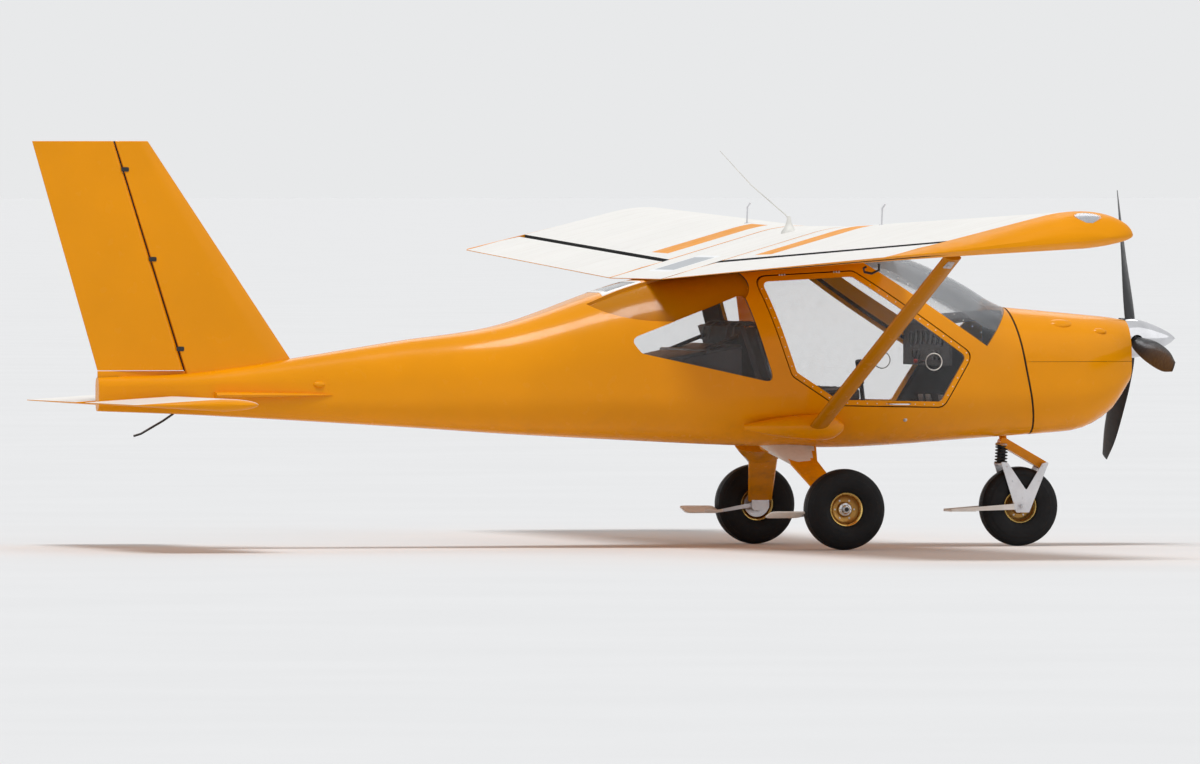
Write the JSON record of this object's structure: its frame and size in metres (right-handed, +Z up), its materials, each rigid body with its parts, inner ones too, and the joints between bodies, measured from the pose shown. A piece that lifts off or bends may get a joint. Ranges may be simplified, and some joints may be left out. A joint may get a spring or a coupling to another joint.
{
  "type": "ultralight aircraft",
  "caption": "High-wing, strut-braced two-seat ultralight aircraft on tricycle gear, with a tractor propeller, flaperons, all-moving tailplane and top-hinged doors.",
  "frame": {"origin": "on the ground under the middle of the overall box", "axes": "+X forwards to the propeller, +Y to port, +Z up"},
  "size_m": [6.353, 9.45, 2.1899],
  "materials": {
    "orange_paint": "gloss",
    "wing_paint": "gloss",
    "tip_paint": "gloss",
    "orange_metal": "gloss",
    "clear_glass": "clear",
    "tyre_rubber": "matt",
    "gold_rim": "satin",
    "bare_steel": "satin",
    "engine_metal": "satin",
    "polished_metal": "polished",
    "black_blade": "satin",
    "black_metal": "satin",
    "cabin_plastic": "matt",
    "sheet_metal": "satin",
    "seat_cloth": "woven"
  },
  "bodies": {
    "airframe": {"cabin_shell": "orange_paint", "tail_cone": "tip_paint", "firewall": "sheet_metal", "upper_cowl": "orange_paint", "lower_cowl": "orange_paint", "engine_block": "engine_metal", "windshield": "clear_glass", "skylight": "clear_glass", "cabin_floor": "cabin_plastic", "seat_frame": "cabin_plastic", "instrument_panel": "cabin_plastic", "control_stick": "bare_steel", "wing_centre": "wing_paint", "nose_sleeve": "bare_steel", "fin": "tip_paint", "antenna": "black_metal", "rear_window_left": "clear_glass", "seat_cushion_left": "seat_cloth", "seat_back_left": "seat_cloth", "wing_left": "wing_paint", "wing_tip_left": "tip_paint", "strut_left": "orange_metal", "main_leg_left": "orange_metal", "main_axle_left": "bare_steel", "rear_window_right": "clear_glass", "seat_cushion_right": "seat_cloth", "seat_back_right": "seat_cloth", "wing_right": "wing_paint", "wing_tip_right": "tip_paint", "strut_right": "orange_metal", "main_leg_right": "orange_metal", "main_axle_right": "bare_steel"},
    "door_left": {"door_frame_left": "orange_paint", "door_glass_left": "clear_glass"},
    "flaperon_left": {"flaperon_left": "wing_paint"},
    "main_wheel_left": {"main_tyre_left": "tyre_rubber", "main_rim_left": "gold_rim"},
    "door_right": {"door_frame_right": "orange_paint", "door_glass_right": "clear_glass"},
    "flaperon_right": {"flaperon_right": "wing_paint"},
    "main_wheel_right": {"main_tyre_right": "tyre_rubber", "main_rim_right": "gold_rim"},
    "nose_leg": {"nose_arm": "orange_metal", "nose_fork": "bare_steel", "nose_shock": "black_metal"},
    "nose_wheel": {"nose_tyre": "tyre_rubber", "nose_rim": "gold_rim"},
    "propeller": {"propeller": "black_blade", "spinner": "polished_metal"},
    "rudder": {"rudder": "tip_paint"},
    "stabilator": {"stabilator": "wing_paint"}
  },
  "joints": [
    {"name": "door_left_swing", "type": "hinge", "parent": "airframe", "child": "door_left", "pos_m": [0.8148, 0.44918, 1.4696], "axis": [0.9916, 0.1171, 0.0551], "range_deg": [0, 70]},
    {"name": "flaperon_left_turn", "type": "hinge", "parent": "airframe", "child": "flaperon_left", "pos_m": [0.6386, 4.49, 1.6285], "axis": [-0.0458, -0.9985, -0.0309], "range_deg": [-18, 20]},
    {"name": "main_wheel_left_spin", "type": "hinge", "parent": "airframe", "child": "main_wheel_left", "pos_m": [1.066, 0.9425, 0.2175], "axis": [0, 1, 0], "continuous": true},
    {"name": "door_right_swing", "type": "hinge", "parent": "airframe", "child": "door_right", "pos_m": [1.182, -0.49255, 1.49], "axis": [-0.9916, 0.1171, -0.0551], "range_deg": [0, 70]},
    {"name": "flaperon_right_turn", "type": "hinge", "parent": "airframe", "child": "flaperon_right", "pos_m": [0.45816, -0.56, 1.5068], "axis": [0.0458, -0.9985, 0.0309], "range_deg": [-18, 20]},
    {"name": "main_wheel_right_spin", "type": "hinge", "parent": "airframe", "child": "main_wheel_right", "pos_m": [1.066, -0.9425, 0.2175], "axis": [0, 1, 0], "continuous": true},
    {"name": "nose_steer", "type": "hinge", "parent": "airframe", "child": "nose_leg", "pos_m": [2.205, 0, 0.6], "axis": [-0.2079, 0, 0.9781], "range_deg": [-25, 25]},
    {"name": "nose_wheel_spin", "type": "hinge", "parent": "nose_leg", "child": "nose_wheel", "pos_m": [2.293, 0, 0.215], "axis": [0, 1, 0], "continuous": true},
    {"name": "propeller_spin", "type": "hinge", "parent": "airframe", "child": "propeller", "pos_m": [2.932, 0, 1.122], "axis": [1, 0, 0], "continuous": true},
    {"name": "rudder_turn", "type": "hinge", "parent": "airframe", "child": "rudder", "pos_m": [-2.365, 0, 0.925], "axis": [-0.2925, 0, 0.9563], "range_deg": [-25, 25]},
    {"name": "stabilator_turn", "type": "hinge", "parent": "airframe", "child": "stabilator", "pos_m": [-2.42098, 0, 0.79], "axis": [0, 1, 0], "range_deg": [-8, 15]}
  ]
}
